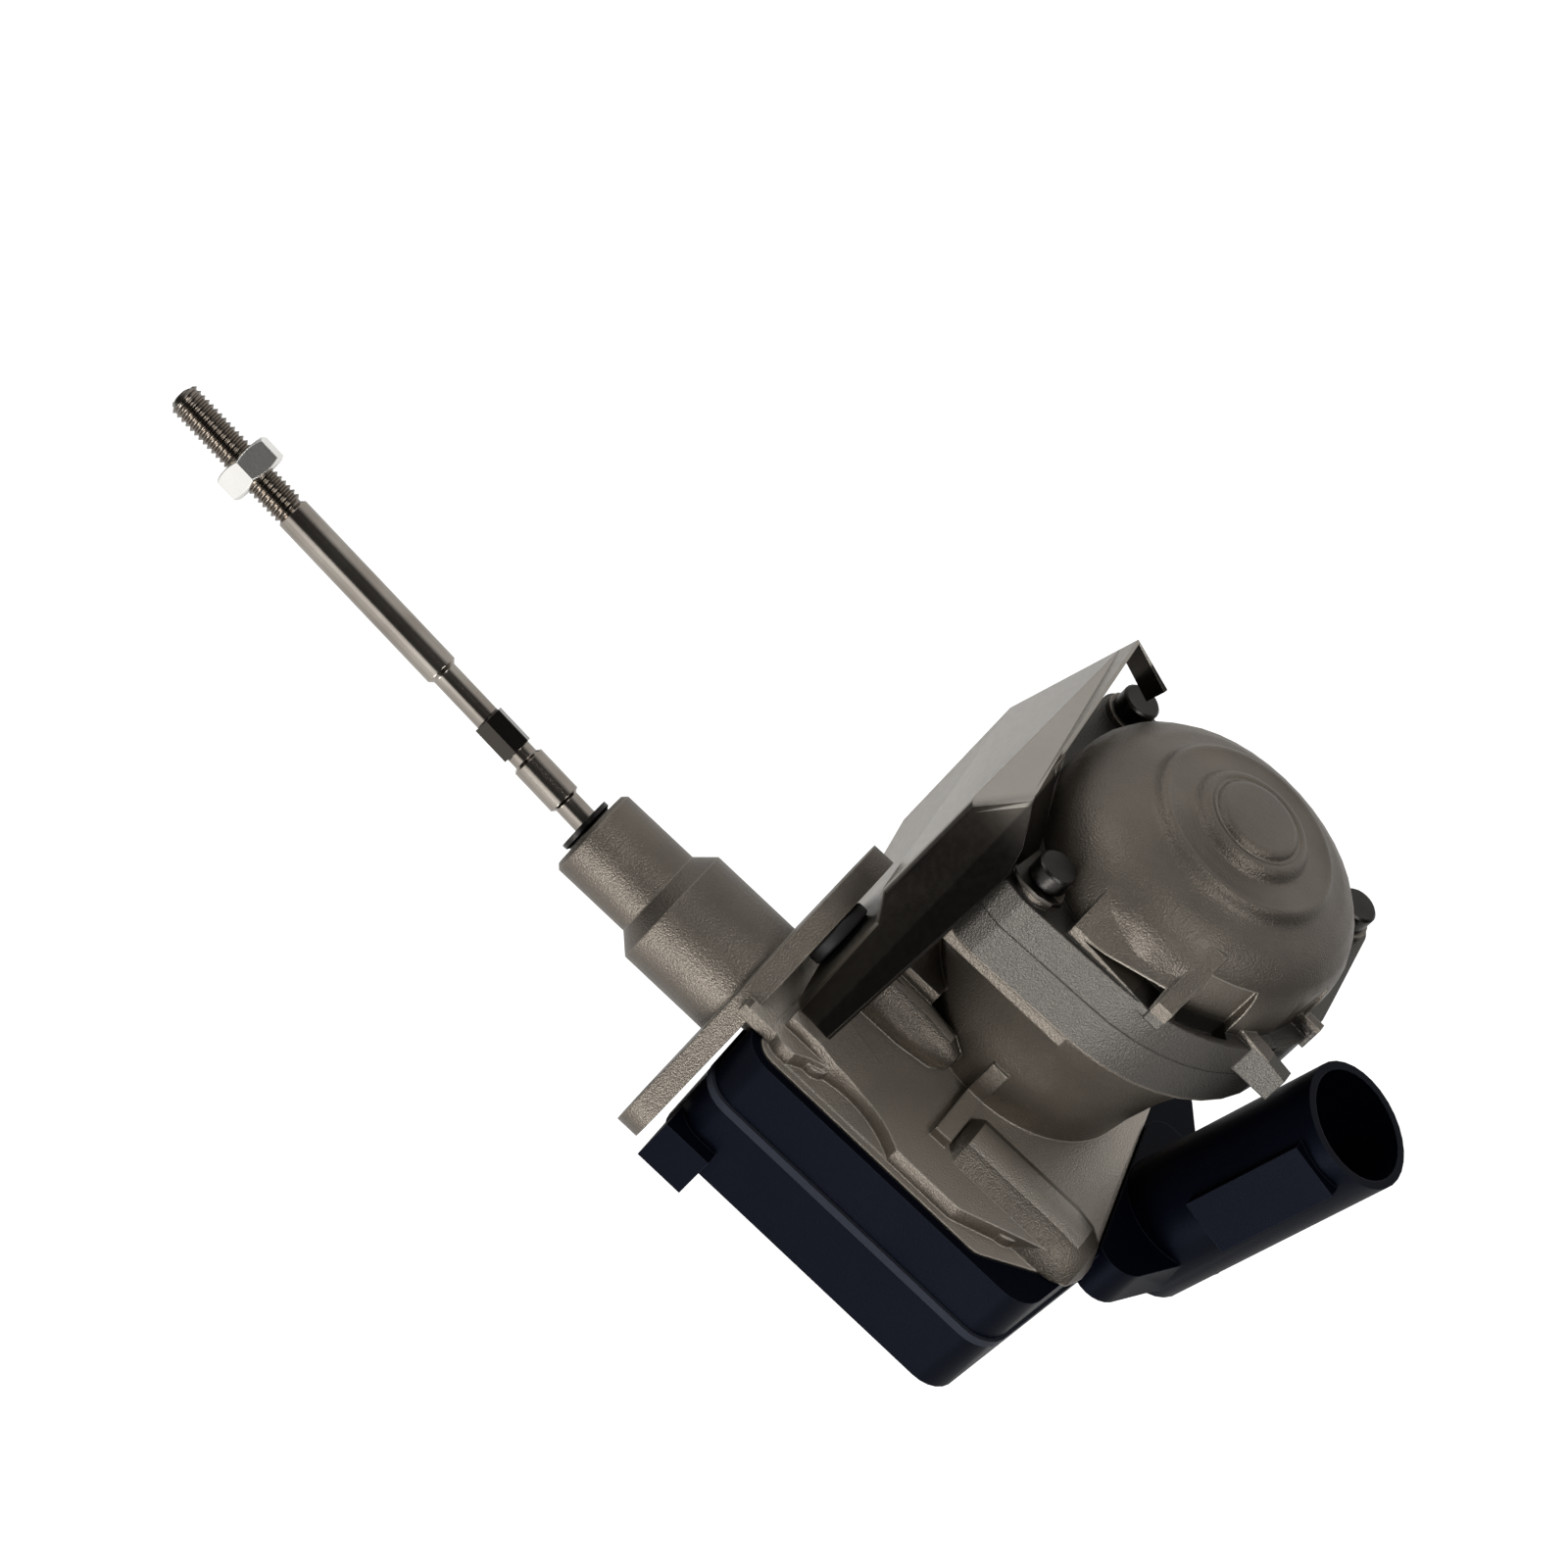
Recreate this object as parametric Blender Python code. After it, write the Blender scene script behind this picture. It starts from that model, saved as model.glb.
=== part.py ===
"""Electric wastegate actuator: a die-cast gear housing with a motor pot and a guide snout, a domed
motor cap, a bent heat shield, a moulded gear cover with its connector, and the gear train that pushes
the rod out. Metres, +Z along the motor, +X along the rod. The origin is on the rod's axis, at the
front face of the mounting flange."""

import math

import bmesh
import bpy
from mathutils import Matrix, Vector, geometry

MM = 0.001

# Fits
GAP = 0.3 * MM  # between still pieces
RUNNING = 0.08 * MM  # radial, between a turning or sliding piece and its seat
WELD = 0.002 * MM  # points nearer than this after a Boolean become one

# Rod and its parts, along the rod from the ball's centre
ROD_TILT = math.radians(4.2)  # the rod leans up from the snout's axis at rest
BALL_X = 29.0 * MM
BALL_R = 3.4 * MM
NECK_R = 2.25 * MM
NECK_END = 12.5 * MM
COLLAR_R = 2.95 * MM
COLLAR_END = 22.0 * MM
THIN_R = 2.25 * MM
HEX_START = 24.0 * MM
HEX_END = 31.0 * MM
HEX_FLATS = 5.2 * MM
MAIN_START = 42.0 * MM
MAIN_R = 2.95 * MM
THREAD_START = 77.5 * MM
THREAD_R = 2.85 * MM
TIP_END = 103.5 * MM
NUT_MIDDLE = 87.0 * MM
NUT_FLATS = 10.0 * MM
NUT_HEIGHT = 5.0 * MM

# Snout, on the rod's axis
MOUTH_X = 35.5 * MM
SNOUT_FRONT_R = 8.25 * MM
SNOUT_REAR_R = 11.15 * MM
CONE_FRONT_X = 20.3 * MM
CONE_REAR_X = 17.2 * MM
SNOUT_BORE_R = 6.4 * MM
BORE_END_X = 8.0 * MM
COLLAR_OUT_R = 6.6 * MM  # the housing's collar round the plunger, inside the cover's notch
COLLAR_BACK_X = -13.0 * MM

# Plunger with its rack
PLUNGER_R = 4.5 * MM
PLUNGER_FRONT_X = 37.0 * MM
PLUNGER_LIP_R = 5.0 * MM
RACK_FRONT_X = -14.5 * MM
RACK_BACK_X = -45.0 * MM
RACK_LINE_Y = -2.6 * MM
TAIL_R = 2.5 * MM
TAIL_END_X = -66.0 * MM
TAIL_BUSH_X = (-53.5 * MM, -47.5 * MM)
TAIL_BUSH_R = 4.0 * MM

# Mounting flange
FLANGE_THICK = 4.2 * MM
FLANGE_HUB_R = 13.0 * MM
EAR_R = 7.2 * MM
EAR_HOLE_R = 3.3 * MM
UPPER_EAR = (-14.0 * MM, 18.0 * MM)  # Y, Z
LOWER_EAR = (13.0 * MM, -20.5 * MM)

# Gear housing
SEAT_Z = 0.6 * MM
LEDGE_Z = 4.0 * MM
DECK_Z = 7.0 * MM
CEILING_Z = 5.3 * MM
FRONT_X = -7.6 * MM

# Motor pot and cap
MOTOR_X = -40.0 * MM
MOTOR_Y = -31.0 * MM
POT_R = 21.4 * MM
RING_SHIFT = -1.4 * MM
POT_BORE_R = 19.6 * MM
POT_FLOOR_Z = 10.0 * MM
RING_LOW_Z = 35.5 * MM
RING_R = 30.7 * MM
PART_Z = 43.6 * MM
CAP_RIM_Z = 50.6 * MM
DOME_R = 28.0 * MM
DOME_SHIFT = -1.5 * MM
LUG_R = 5.0 * MM
LUG_SPOTS = ((17 * MM, 26.5 * MM), (24 * MM, -24 * MM), (-25 * MM, -24 * MM))  # from the motor
CAP_SCREW_R = 2.0 * MM

# Gear cover
RIM_TOP_Z = 3.7 * MM
RIM_WALL = 1.7 * MM
BEAD_Z = -8.0 * MM
COVER_LOW_Z = -22.5 * MM
COVER_FLOOR = 1.9 * MM
SEAL = 1.2 * MM

# Gear train
MOTOR_TEETH = 10
WHEEL_TEETH = 36
FAST_MODULE = 0.8 * MM
PINION_TEETH = 11
OUTPUT_TEETH = 34
SLOW_MODULE = 0.9 * MM
RACK_TEETH = 17
RACK_MODULE = 1.0 * MM
BACKLASH = 0.2 * MM
OUTPUT_X = -27.0 * MM
PIN_R = 1.5 * MM
FAST_Z = (-9.6 * MM, -6.2 * MM)
SLOW_Z = (-15.0 * MM, -11.4 * MM)
RACK_Z = 3.6 * MM

# Connector
PLUG_TILT = math.radians(12.1)
PLUG_FOOT = (-78.7 * MM, -27.0 * MM, 0.0)
PLUG_OUT_R = 11.3 * MM
PLUG_WALL = 1.5 * MM
PLUG_LENGTH = 44.0 * MM
PLUG_FLOOR = 16.0 * MM
PIN_COUNT = 5
PIN_PITCH = 3.0 * MM
PIN_WIDE = 0.8 * MM

# Heat shield
SHEET = 0.8 * MM
BEND_R = 1.6 * MM
FORK_Z = 52.75 * MM  # middle of the sheet where a cap screw clamps it

X_AXIS = Matrix.Rotation(math.pi / 2, 4, "Y")  # takes +Z to +X
TO_FRONT = Matrix.Rotation(math.pi / 2, 4, "X")  # takes +Y to +Z and +Z to -Y

for old in list(bpy.data.objects):
    bpy.data.objects.remove(old, do_unlink=True)


def material(name, colour, roughness, metallic):
    found = bpy.data.materials.get(name)
    if found:
        return found
    made = bpy.data.materials.new(name)
    made.use_nodes = True
    shader = made.node_tree.nodes["Principled BSDF"]
    shader.inputs["Base Color"].default_value = (*colour, 1)
    shader.inputs["Roughness"].default_value = roughness
    shader.inputs["Metallic"].default_value = metallic
    made.diffuse_color = (*colour, 1)
    return made


CAST = ("cast_aluminium", (0.30, 0.27, 0.24), 0.45, 0.9)
STAINLESS = ("stainless_sheet", (0.55, 0.53, 0.48), 0.25, 1.0)
BLACK = ("black_plastic", (0.012, 0.014, 0.02), 0.4, 0.0)
STEEL = ("turned_steel", (0.42, 0.40, 0.38), 0.25, 1.0)
ZINC = ("zinc_plate", (0.62, 0.60, 0.56), 0.35, 1.0)
DARK = ("blackened_steel", (0.03, 0.03, 0.032), 0.4, 0.8)
RUBBER = ("seal_rubber", (0.015, 0.015, 0.015), 0.8, 0.0)
NYLON = ("gear_nylon", (0.75, 0.72, 0.62), 0.5, 0.0)
BRONZE = ("sintered_bronze", (0.45, 0.28, 0.12), 0.5, 1.0)
COPPER = ("copper", (0.6, 0.28, 0.14), 0.4, 1.0)
TIN = ("tinned_brass", (0.7, 0.66, 0.55), 0.3, 1.0)
FERRITE = ("ferrite", (0.05, 0.05, 0.055), 0.7, 0.0)
BOARD = ("circuit_board", (0.02, 0.14, 0.06), 0.5, 0.0)


def finish(name, bm, look, sharp=35):
    """An object from this bmesh, shaded smooth between its sharp edges."""
    bmesh.ops.remove_doubles(bm, verts=bm.verts, dist=1e-7)
    bmesh.ops.recalc_face_normals(bm, faces=bm.faces)
    mesh = bpy.data.meshes.new(name)
    bm.to_mesh(mesh)
    bm.free()
    mesh.shade_smooth()
    mesh.set_sharp_from_angle(angle=math.radians(sharp))
    mesh.materials.append(material(*look))
    obj = bpy.data.objects.new(name, mesh)
    bpy.context.scene.collection.objects.link(obj)
    return obj


def turned(name, profile, look=CAST, place=Matrix(), steps=32, ring=False):
    """A turned body: (radius, height) points round +Z, then placed. A ring's profile is a closed loop."""
    bm = bmesh.new()
    points = [bm.verts.new((r, 0, z)) for r, z in profile]
    pairs = list(zip(points, points[1:])) + ([(points[-1], points[0])] if ring else [])
    edges = [bm.edges.new(pair) for pair in pairs]
    bmesh.ops.spin(
        bm, geom=points + edges, axis=(0, 0, 1), cent=(0, 0, 0),
        angle=math.tau, steps=steps, use_merge=True,
    )
    bmesh.ops.transform(bm, matrix=place, verts=bm.verts)
    return finish(name, bm, look)


def extruded(name, outline, low, high, look=CAST, place=Matrix()):
    """An outline of (x, y) points pushed from low to high along Z, then placed."""
    bm = bmesh.new()
    face = bm.faces.new([bm.verts.new((x, y, low)) for x, y in outline])
    grown = bmesh.ops.extrude_face_region(bm, geom=[face])["geom"]
    bmesh.ops.translate(
        bm, vec=(0, 0, high - low), verts=[v for v in grown if isinstance(v, bmesh.types.BMVert)]
    )
    bmesh.ops.transform(bm, matrix=place, verts=bm.verts)
    return finish(name, bm, look)


def block(name, low, high, look=CAST):
    """A box between two corners."""
    outline = [(low[0], low[1]), (high[0], low[1]), (high[0], high[1]), (low[0], high[1])]
    return extruded(name, outline, low[2], high[2], look)


def rod_between(name, radius, start, end, look=CAST, steps=20):
    """A plain cylinder from start to end."""
    start = Vector(start)
    along = Vector(end) - start
    place = Matrix.Translation(start) @ along.to_track_quat("Z", "Y").to_matrix().to_4x4()
    return turned(name, [(0, 0), (radius, 0), (radius, along.length), (0, along.length)], look, place, steps)


def combine(target, tool, operation):
    """Joins or cuts with an exact Boolean, keeps the result as the target's mesh, and drops the tool."""
    step = target.modifiers.new("shape", "BOOLEAN")
    step.operation = operation
    step.solver = "EXACT"
    step.object = tool
    graph = bpy.context.evaluated_depsgraph_get()
    made = bpy.data.meshes.new_from_object(target.evaluated_get(graph))
    target.modifiers.clear()
    bm = bmesh.new()
    bm.from_mesh(made)
    bmesh.ops.remove_doubles(bm, verts=bm.verts, dist=WELD)
    bmesh.ops.dissolve_degenerate(bm, edges=bm.edges, dist=WELD)
    bm.to_mesh(made)
    bm.free()
    target.data = made
    bpy.data.objects.remove(tool, do_unlink=True)
    return target


def add(target, *tools):
    for tool in tools:
        combine(target, tool, "UNION")
    return target


def cut(target, *tools):
    for tool in tools:
        combine(target, tool, "DIFFERENCE")
    return target


def circle(x, y, radius, steps=24):
    return [
        (x + radius * math.cos(math.tau * k / steps), y + radius * math.sin(math.tau * k / steps))
        for k in range(steps)
    ]


def hull(*discs, steps=24):
    """The outline round several discs, each (x, y, radius)."""
    points = [p for x, y, r in discs for p in circle(x, y, r, steps)]
    return [points[k] for k in geometry.convex_hull_2d(points)]


def housing_outline(grow):
    """The gear case seen along the motor, from the discs at its corners, grown or shrunk by one amount."""
    corners = (
        (FRONT_X - 4 * MM, 11.9 * MM, 4 * MM), (-55 * MM, 11.9 * MM, 4 * MM), (-65.5 * MM, 3 * MM, 5 * MM),
        (-65.8 * MM, -5 * MM, 6 * MM), (-57.5 * MM, -44 * MM, 7 * MM), (-49 * MM, -50 * MM, 7 * MM),
        (-29 * MM, -50 * MM, 7 * MM), (FRONT_X - 9 * MM, -39 * MM, 7 * MM),
        (FRONT_X - 5 * MM, -20 * MM, 5 * MM),
    )
    return hull(*((x, y, r + grow) for x, y, r in corners))


def gear_outline(teeth, module, toward, x=0.0, y=0.0, tooth=True, bore=None):
    """A spur gear's outline. A tooth, or a gap, is centred on the direction toward."""
    pitch_r = teeth * module / 2
    half = math.pi / (2 * teeth)
    thin = BACKLASH / 2 / pitch_r
    spots = (
        (pitch_r - 1.15 * module, half * 1.32), (pitch_r, half - thin),
        (pitch_r + 0.8 * module, half * 0.50),
    )
    turn = 0 if tooth else math.pi / teeth
    outline = []
    for k in range(teeth):
        middle = toward + turn + math.tau * k / teeth
        for r, spread in spots:
            outline.append((x + r * math.cos(middle - spread), y + r * math.sin(middle - spread)))
        for r, spread in reversed(spots):
            outline.append((x + r * math.cos(middle + spread), y + r * math.sin(middle + spread)))
    return outline


def meeting(first, first_r, second, second_r):
    """A gear's centre, first_r from one centre and second_r from another, on the -X side."""
    first, second = Vector(first), Vector(second)
    apart = (second - first).length
    along = (first_r**2 - second_r**2 + apart**2) / (2 * apart)
    aside = math.sqrt(first_r**2 - along**2)
    way = (second - first) / apart
    return first + way * along + Vector((-way.y, way.x)) * aside


MOTOR = Vector((MOTOR_X, MOTOR_Y))
OUTPUT = Vector((OUTPUT_X, RACK_LINE_Y - RACK_TEETH * RACK_MODULE / 2))
IDLER = meeting(
    MOTOR, (MOTOR_TEETH + WHEEL_TEETH) * FAST_MODULE / 2,
    OUTPUT, (PINION_TEETH + OUTPUT_TEETH) * SLOW_MODULE / 2,
)
LUGS = [(MOTOR_X + x, MOTOR_Y + y) for x, y in LUG_SPOTS]
COVER_SCREWS = (
    (-16.8 * MM, 9.5 * MM), (-57.6 * MM, 7.5 * MM), (-56 * MM, -44 * MM), (-34 * MM, -50 * MM),
    (-16.5 * MM, -37 * MM),
)


def heading(start, end):
    return math.atan2(end[1] - start[1], end[0] - start[0])


def seat(obj, point):
    """Moves the object's origin to this point, leaving its shape where it is."""
    obj.data.transform(Matrix.Translation(-Vector(point)))
    obj.location = point
    return obj


def bar(outline, low, high, look=CAST):
    return extruded("tool", outline, low, high, look)


def along_x(radius, start, end, look=CAST, steps=32, name="tool"):
    return rod_between(name, radius, (start, 0, 0), (end, 0, 0), look, steps)


def upright(x, y, radius, low, high, look=CAST, steps=16, name="tool"):
    return rod_between(name, radius, (x, y, low), (x, y, high), look, steps)


def ring_outline(grow):
    """The motor flange seen along the motor: the pot's rim and its screw lugs in one line."""
    corner = (-20.5 * MM, -4.5 * MM, 4.5 * MM)
    screws = ((x, y, LUG_R) for x, y in LUGS)
    middle = (MOTOR_X + RING_SHIFT, MOTOR_Y, RING_R)
    return hull(*((x, y, r + grow) for x, y, r in (middle, corner, *screws)), steps=40)


def deck_outline():
    """The raised deck, set back from the ledge most at its cut corner."""
    corners = (
        (FRONT_X - 4 * MM, 10.3 * MM, 4 * MM), (-48.5 * MM, 10.3 * MM, 4 * MM),
        (-64.2 * MM, 1.5 * MM, 5 * MM),
        (-65.8 * MM, -5 * MM, 4.4 * MM), (-57.5 * MM, -44 * MM, 5.4 * MM), (-49 * MM, -50 * MM, 5.4 * MM),
        (-29 * MM, -50 * MM, 5.4 * MM), (-16.6 * MM, -39 * MM, 5.4 * MM), (-12.6 * MM, -20 * MM, 3.4 * MM),
    )
    return hull(*corners)


def cavity_outline():
    """The hollow over the gears, with a thick wall on the near side."""
    corners = (
        (-11.8 * MM, 5.5 * MM, 2 * MM), (-49 * MM, 5.5 * MM, 2 * MM), (-64 * MM, -1 * MM, 2.4 * MM),
        (-65.6 * MM, -5 * MM, 2 * MM), (-57.5 * MM, -44 * MM, 3 * MM), (-49 * MM, -50 * MM, 3 * MM),
        (-29 * MM, -50 * MM, 3 * MM), (-16.8 * MM, -39 * MM, 3 * MM), (-13 * MM, -20 * MM, 1 * MM),
    )
    return hull(*corners)


def cover_outline(grow):
    """The gear cover seen along the motor. It runs on past the case where the connector stands."""
    corners = (
        (FRONT_X - 4 * MM, 11.9 * MM, 4 * MM), (-63.6 * MM, 11.9 * MM, 4 * MM),
        (-71.6 * MM, -38 * MM, 4.5 * MM),
        (-64 * MM, -49 * MM, 5 * MM), (-49 * MM, -50 * MM, 7 * MM), (-29 * MM, -50 * MM, 7 * MM),
        (FRONT_X - 9 * MM, -39 * MM, 7 * MM), (FRONT_X - 5 * MM, -20 * MM, 5 * MM),
    )
    return hull(*((x, y, r + grow) for x, y, r in corners))


# Gear housing, one die casting: case, ridge, motor pot, mounting flange and snout.
housing = bar(housing_outline(0), SEAT_Z, LEDGE_Z)
housing.name = "gear_housing"
add(housing, bar(deck_outline(), SEAT_Z + 1 * MM, DECK_Z))
ridge = turned(
    "tool", [(0, -73 * MM), (4.5 * MM, -72.6 * MM), (7.6 * MM, -71.2 * MM), (9.2 * MM, -68.5 * MM),
             (9.8 * MM, -65 * MM), (9.8 * MM, -44 * MM), (8.4 * MM, -42 * MM), (0, -41.8 * MM)],
    CAST, X_AXIS, 36,
)
cut(ridge, block("tool", (-80 * MM, -12 * MM, -12 * MM), (-30 * MM, 12 * MM, LEDGE_Z - 0.1 * MM)))
add(housing, ridge)
pot = turned(
    "tool", [(0, 5.9 * MM), (POT_R, 5.9 * MM), (22.2 * MM, 12 * MM), (24.2 * MM, 21 * MM),
             (26.8 * MM, 28.5 * MM),
             (29.2 * MM, 33.5 * MM), (29.6 * MM, 36.5 * MM), (0, 36.5 * MM)],
    CAST, Matrix.Translation((MOTOR_X, MOTOR_Y, 0)), 56,
)
add(housing, pot, bar(ring_outline(0), RING_LOW_Z, PART_Z))
add(housing, block("tool", (-43 * MM, -12 * MM, 32.8 * MM), (-17.6 * MM, -1.2 * MM, 36 * MM)))
add(housing, block("tool", (-41.6 * MM, -8 * MM, 5 * MM), (-38.2 * MM, 5.6 * MM, 8.9 * MM)))
add(housing, block("tool", (-41.6 * MM, -14 * MM, 6 * MM), (-38.2 * MM, -7.2 * MM, 16.2 * MM)))
add(housing, block("tool", (-24.5 * MM, -23 * MM, 6 * MM), (-17.3 * MM, -11 * MM, 16 * MM)))
boss = turned(
    "tool", [(0, -34 * MM), (1.8 * MM, -33.6 * MM), (3.4 * MM, -31 * MM), (4.4 * MM, -25 * MM),
             (4.7 * MM, -8.3 * MM),
             (0, -8.3 * MM)],
    CAST, Matrix.Translation((0, -9 * MM, 9.5 * MM)) @ X_AXIS, 24,
)
add(housing, boss)
ramp = [(-9 * MM, 5.1 * MM), (-9 * MM, 9.4 * MM), (-15 * MM, 9.4 * MM), (-27 * MM, 6.6 * MM),
        (-27 * MM, 5.1 * MM)]
add(housing, extruded("tool", ramp, -10.8 * MM, -1 * MM, CAST, TO_FRONT))
cut(housing, upright(-24.5 * MM, 27 * MM, 17 * MM, LEDGE_Z + 0.15 * MM, 12 * MM, steps=48))
cut(housing, bar(cavity_outline(), -1 * MM, CEILING_Z))
cut(housing, along_x(6.8 * MM, -68 * MM, -43.5 * MM))
cut(housing, upright(MOTOR_X, MOTOR_Y, POT_BORE_R, POT_FLOOR_Z, 60 * MM, steps=56))
cut(housing, upright(MOTOR_X, MOTOR_Y, 4.2 * MM, 2 * MM, 12 * MM))
flange_outline = hull(
    (0, 0, FLANGE_HUB_R), (-UPPER_EAR[1], UPPER_EAR[0], EAR_R),
    (-LOWER_EAR[1], LOWER_EAR[0], EAR_R), steps=32
)
add(housing, extruded("tool", flange_outline, -FLANGE_THICK, 0, CAST, X_AXIS))
add(housing, block("tool", (-13 * MM, -12.6 * MM, LEDGE_Z + 0.2 * MM),
                   (-2 * MM, 13.4 * MM, DECK_Z - 0.2 * MM)))
snout = turned(
    "tool", [(0, -2 * MM), (SNOUT_REAR_R, -2 * MM), (SNOUT_REAR_R, CONE_REAR_X),
             (SNOUT_FRONT_R, CONE_FRONT_X),
             (SNOUT_FRONT_R, MOUTH_X - 0.8 * MM), (SNOUT_FRONT_R - 0.8 * MM, MOUTH_X), (0, MOUTH_X)],
    CAST, X_AXIS, 36,
)
add(housing, snout, along_x(COLLAR_OUT_R, COLLAR_BACK_X, -1 * MM))
cut(housing, along_x(SNOUT_BORE_R, BORE_END_X, 40 * MM))
cut(housing, along_x(PLUNGER_R + RUNNING, -20 * MM, 10 * MM))
add(housing, block("tool", (TAIL_BUSH_X[0], -7 * MM, -5.4 * MM), (TAIL_BUSH_X[1], 7.2 * MM, 6.7 * MM)))
cut(housing, along_x(TAIL_BUSH_R + 0.1 * MM, -56 * MM, -44 * MM))
for x, y in (IDLER, OUTPUT):
    add(housing, upright(x, y, 3.4 * MM, 4.4 * MM, 5.8 * MM))
    cut(housing, upright(x, y, PIN_R + 0.05 * MM, 2 * MM, 6.2 * MM))
for x, y in COVER_SCREWS:
    add(housing, upright(x, y, 3.0 * MM, SEAT_Z, 5.9 * MM))
    cut(housing, upright(x, y, 1.35 * MM, -1 * MM, 5.0 * MM))
for x, y in LUGS:
    cut(housing, upright(x, y, CAP_SCREW_R + 0.1 * MM, 37 * MM, 60 * MM))
for y, z in (UPPER_EAR, LOWER_EAR):
    cut(housing, rod_between("tool", EAR_HOLE_R, (-10 * MM, y, z), (5 * MM, y, z)))

# Motor cap, a die casting that closes the pot over the motor's upper end.
cap = bar(ring_outline(0), PART_Z + 0.05 * MM, CAP_RIM_Z)
cap.name = "motor_cap"
DOME = Matrix.Translation((MOTOR_X + DOME_SHIFT, MOTOR_Y, 0))
dome = turned(
    "tool", [(0, 49 * MM), (DOME_R, 49 * MM), (DOME_R, 55.5 * MM), (27.5 * MM, 58.5 * MM),
             (26.2 * MM, 61.2 * MM),
             (24 * MM, 63.6 * MM), (21.2 * MM, 65.2 * MM), (18.4 * MM, 65.9 * MM), (17.4 * MM, 66.6 * MM),
             (16 * MM, 67.1 * MM), (12.4 * MM, 67.4 * MM), (11.2 * MM, 68.2 * MM), (9.6 * MM, 68.9 * MM),
             (0, 69.2 * MM)],
    CAST, DOME, 44,
)
add(cap, dome)
for x, y in LUGS:
    add(cap, upright(x, y, 4.2 * MM, 49 * MM, 52 * MM))
wedge = [(-49 * MM, -0.9 * MM), (-52.8 * MM, -0.9 * MM), (-62.5 * MM, -8.5 * MM), (-62.5 * MM, -20 * MM),
         (-49 * MM, -20 * MM)]
add(cap, extruded("tool", wedge, -50.4 * MM, -31 * MM, CAST, X_AXIS))
rib = [(-49 * MM, -0.6 * MM), (-53.4 * MM, -0.6 * MM), (-63.4 * MM, -7.8 * MM), (-63.4 * MM, -20 * MM),
       (-49 * MM, -20 * MM)]
add(cap, extruded("tool", rib, -52 * MM, -48.8 * MM, CAST, X_AXIS))
cut(cap, extruded("tool", [(-33.4 * MM, 52 * MM), (-48.6 * MM, 50.7 * MM), (-48.2 * MM, 54.8 * MM)],
                  -2 * MM, 6.2 * MM, CAST, TO_FRONT))
for low, high, inner, floor_z in ((113, 133, 26.3, 47.6), (153, 171, 27.2, 49.2)):
    turns = [math.radians(low + (high - low) * k / 5) for k in range(6)]
    middle_x = MOTOR_X + RING_SHIFT
    pocket = [(middle_x + inner * MM * math.cos(a), MOTOR_Y + inner * MM * math.sin(a)) for a in turns]
    outer = 29.5 * MM if inner < 27 else 40 * MM
    pocket += [(middle_x + outer * math.cos(a), MOTOR_Y + outer * math.sin(a)) for a in reversed(turns)]
    cut(cap, bar(pocket, floor_z * MM, 60 * MM))
fin = [(-73 * MM, 45 * MM), (-73 * MM, 50.4 * MM), (-61 * MM, 52.2 * MM), (-57 * MM, 52.2 * MM),
       (-57 * MM, 45 * MM)]
add(cap, extruded("tool", fin, 12.2 * MM, 15 * MM, CAST, TO_FRONT))
add(cap, block("tool", (-72.6 * MM, -28.4 * MM, 47 * MM), (-66 * MM, -26.6 * MM, 52 * MM)))
hollow = turned(
    "tool", [(0, 40 * MM), (24.6 * MM, 40 * MM), (24.6 * MM, 57 * MM), (21 * MM, 61.5 * MM),
             (16 * MM, 63 * MM),
             (0, 63 * MM)],
    CAST, DOME, 44,
)
cut(cap, hollow)
for x, y in LUGS:
    cut(cap, upright(x, y, CAP_SCREW_R + 0.15 * MM, 40 * MM, 60 * MM))
for k, (x, y) in enumerate(LUGS):
    head_z = 52.2 * MM if k else FORK_Z + 0.6 * MM
    shank = [(0, 39 * MM), (CAP_SCREW_R, 39 * MM), (CAP_SCREW_R, head_z), (3.5 * MM, head_z),
             (3.5 * MM, head_z + 3 * MM), (3.1 * MM, head_z + 3.4 * MM), (0, head_z + 3.4 * MM)]
    turned(f"cap_screw_{k + 1}", shank, DARK, Matrix.Translation((x, y, 0)), 24)

# Gear cover, moulded with the connector's shroud.
cover = bar(cover_outline(RIM_WALL + 0.2 * MM), COVER_LOW_Z, RIM_TOP_Z, BLACK)
cover.name = "gear_cover"
add(cover, bar(cover_outline(RIM_WALL + 0.8 * MM), BEAD_Z - 0.8 * MM, BEAD_Z + 0.8 * MM, BLACK))
add(cover, block("tool", (-15.6 * MM, 10 * MM, -26 * MM), (-6.3 * MM, 20.6 * MM, -17 * MM), BLACK))
FOOT = (
    (-75.5 * MM, -9.5 * MM, 5 * MM), (-77.5 * MM, -17 * MM, 5 * MM), (-84 * MM, -34 * MM, 8 * MM),
    (-70 * MM, -38 * MM, 4 * MM), (-70 * MM, -12 * MM, 4 * MM),
)
add(cover, bar(hull(*FOOT), -3.2 * MM, 5 * MM, BLACK))
PLUG = Matrix.Translation(PLUG_FOOT) @ Matrix.Rotation(-PLUG_TILT, 4, "Y")
shroud = turned(
    "tool", [(0, -4 * MM), (PLUG_OUT_R, -4 * MM), (PLUG_OUT_R, PLUG_LENGTH),
             (0, PLUG_LENGTH)], BLACK, PLUG, 32
)
add(cover, shroud)
add(cover, extruded("tool", [(-5 * MM, 5 * MM), (5 * MM, 5 * MM), (5 * MM, 12.6 * MM), (-5 * MM, 12.6 * MM)],
                    16 * MM, 40.5 * MM, BLACK, PLUG))
cut(cover, bar(housing_outline(0.2 * MM), SEAT_Z - SEAL, 8 * MM))
cut(cover, bar(housing_outline(-2 * MM), -4 * MM, 2 * MM))
cut(cover, bar(cover_outline(-1.6 * MM), COVER_LOW_Z + COVER_FLOOR, -2.6 * MM))
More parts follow.
